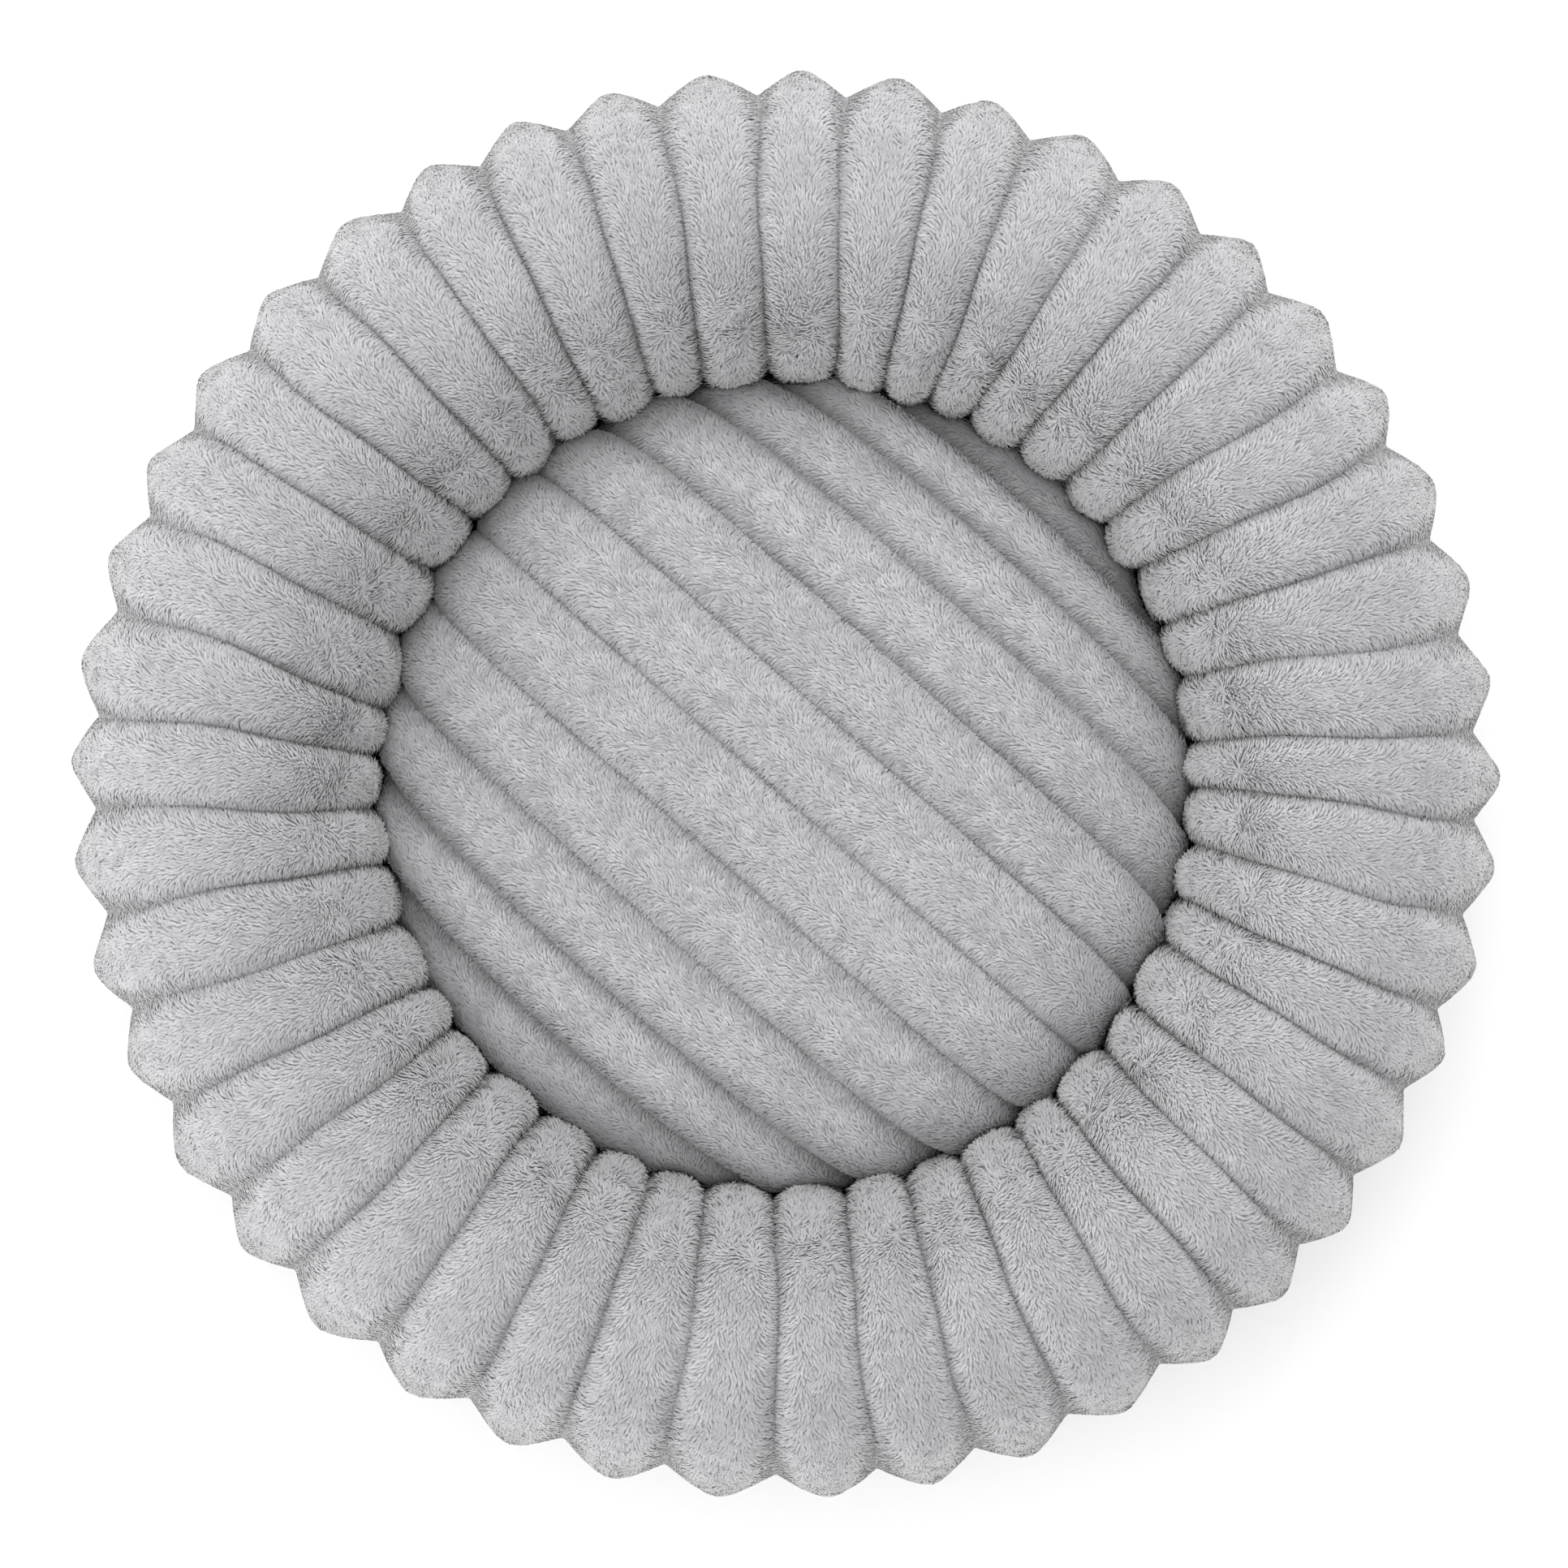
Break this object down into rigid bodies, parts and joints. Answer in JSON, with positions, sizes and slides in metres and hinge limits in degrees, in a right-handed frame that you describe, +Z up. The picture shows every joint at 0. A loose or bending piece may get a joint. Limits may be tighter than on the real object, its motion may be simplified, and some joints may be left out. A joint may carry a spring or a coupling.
{
  "type": "pet cushion bed",
  "caption": "Round plush pet bed: a channel-quilted bolster ring on a padded non-slip base, with a domed, zipped cushion that lifts out of its well.",
  "frame": {"origin": "on the floor, under the middle of the bed", "axes": "+Z up out of the well; +X and +Y lie along the floor, and the cushion's channels run from -X +Y to +X -Y"},
  "size_m": [0.6, 0.6, 0.18],
  "materials": {
    "plush": "short dense plush pile, cool light grey, soft nap",
    "lining": "plain woven polyester lining",
    "fibre": "white polyester fibre fill",
    "nonslip_base": "coated woven base cloth with raised grip dots",
    "binding": "grosgrain binding tape",
    "label": "blank satin label",
    "panel_cloth": "plain woven polyester",
    "zip_tape": "herringbone zip tape",
    "zip_nylon": "moulded nylon coil",
    "zip_metal": "satin plated zinc"
  },
  "bodies": {
    "bed": {"base_sheet": "nonslip_base", "base_wadding": "fibre", "floor_lining": "lining", "base_binding": "binding", "care_label": "label", "bolster_cover": "plush", "bolster_lining": "lining", "bolster_filling": "fibre"},
    "cushion": {"cushion_top_cover": "plush", "cushion_top_lining": "lining", "cushion_filling": "fibre", "cushion_bottom_panel": "panel_cloth", "cushion_gusset": "panel_cloth", "zip_tape_upper": "zip_tape", "zip_tape_lower": "zip_tape", "zip_coil_upper": "zip_nylon", "zip_coil_lower": "zip_nylon", "zip_stop_closed": "zip_metal", "zip_stop_open": "zip_metal"},
    "slider": {"zip_slider": "zip_metal"},
    "puller": {"zip_puller": "zip_metal"}
  },
  "joints": [
    {"name": "cushion_lift", "type": "slide", "parent": "bed", "child": "cushion", "axis": [0, 0, 1], "range_m": [0, 0.22]},
    {"name": "zip_run", "type": "hinge", "parent": "cushion", "child": "slider", "pos_m": [0, 0, 0.0225], "axis": [0, 0, 1], "range_deg": [0, 96]},
    {"name": "puller_flip", "type": "hinge", "parent": "slider", "child": "puller", "pos_m": [0.00803, 0.15319, 0.0225], "axis": [0, 0, -1], "range_deg": [0, 175]}
  ]
}
